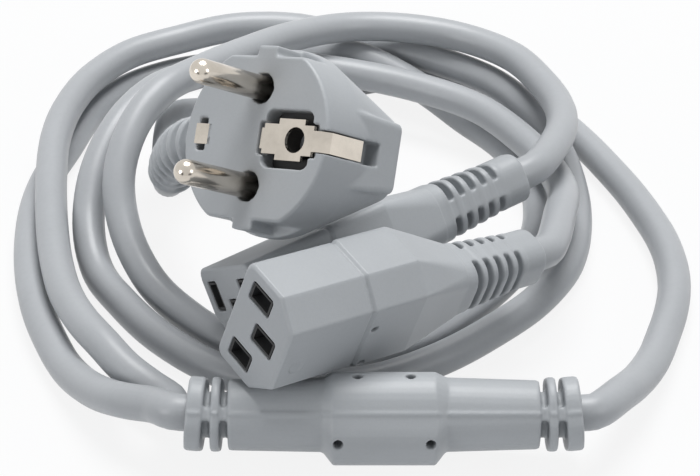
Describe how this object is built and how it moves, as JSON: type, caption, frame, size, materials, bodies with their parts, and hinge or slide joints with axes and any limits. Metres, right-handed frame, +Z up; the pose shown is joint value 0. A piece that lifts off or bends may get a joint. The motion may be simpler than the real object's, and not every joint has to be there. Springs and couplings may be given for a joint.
{
  "type": "power cord splitter",
  "caption": "Mains power splitter lead: an earthed round-pin plug on a grey cord, a moulded junction and a pair of three-slot appliance connectors, laid in a loose coil.",
  "frame": {"origin": "on the table, under the middle of the moulded junction", "axes": "+X along the junction towards its single-cord end, +Y away from the viewer towards the coil, +Z up"},
  "size_m": [0.1447, 0.1693, 0.0722],
  "materials": {
    "grey_moulding": "satin mid-grey flexible moulding, fine spark-eroded texture",
    "grey_sheath": "satin mid-grey flexible sheath, smooth",
    "dark_insert": "matt dark grey insert",
    "pale_block": "matt off-white",
    "plated_metal": "bright nickel plating, lightly brushed",
    "brass": "plain pressed brass",
    "brown_insulation": "glossy insulation",
    "blue_insulation": "glossy insulation",
    "green_yellow_insulation": "glossy green and yellow insulation"
  },
  "bodies": {
    "root": {"splitter_body": "grey_moulding", "splice_block": "pale_block", "splice_crimp_live": "brass", "splice_crimp_neutral": "brass", "splice_crimp_earth": "brass", "splitter_wire_main_live": "brown_insulation", "splitter_wire_main_neutral": "blue_insulation", "splitter_wire_main_earth": "green_yellow_insulation", "splitter_wire_front_live": "brown_insulation", "splitter_wire_front_neutral": "blue_insulation", "splitter_wire_front_earth": "green_yellow_insulation", "splitter_wire_rear_live": "brown_insulation", "splitter_wire_rear_neutral": "blue_insulation", "splitter_wire_rear_earth": "green_yellow_insulation", "front_connector_body": "grey_moulding", "front_connector_core": "dark_insert", "front_connector_contact_live": "brass", "front_connector_wire_live": "brown_insulation", "front_connector_contact_neutral": "brass", "front_connector_wire_neutral": "blue_insulation", "front_connector_contact_earth": "brass", "front_connector_wire_earth": "green_yellow_insulation", "rear_connector_body": "grey_moulding", "rear_connector_core": "dark_insert", "rear_connector_contact_live": "brass", "rear_connector_wire_live": "brown_insulation", "rear_connector_contact_neutral": "brass", "rear_connector_wire_neutral": "blue_insulation", "rear_connector_contact_earth": "brass", "rear_connector_wire_earth": "green_yellow_insulation", "plug_body": "grey_moulding", "plug_core": "dark_insert", "plug_pin_live": "plated_metal", "plug_pin_neutral": "plated_metal", "plug_earth_strip": "plated_metal", "plug_earth_socket": "plated_metal", "plug_wire_live": "brown_insulation", "plug_wire_neutral": "blue_insulation", "plug_wire_earth": "green_yellow_insulation", "main_cord": "grey_sheath", "front_branch_cord": "grey_sheath", "rear_branch_cord": "grey_sheath"}
  },
  "joints": []
}
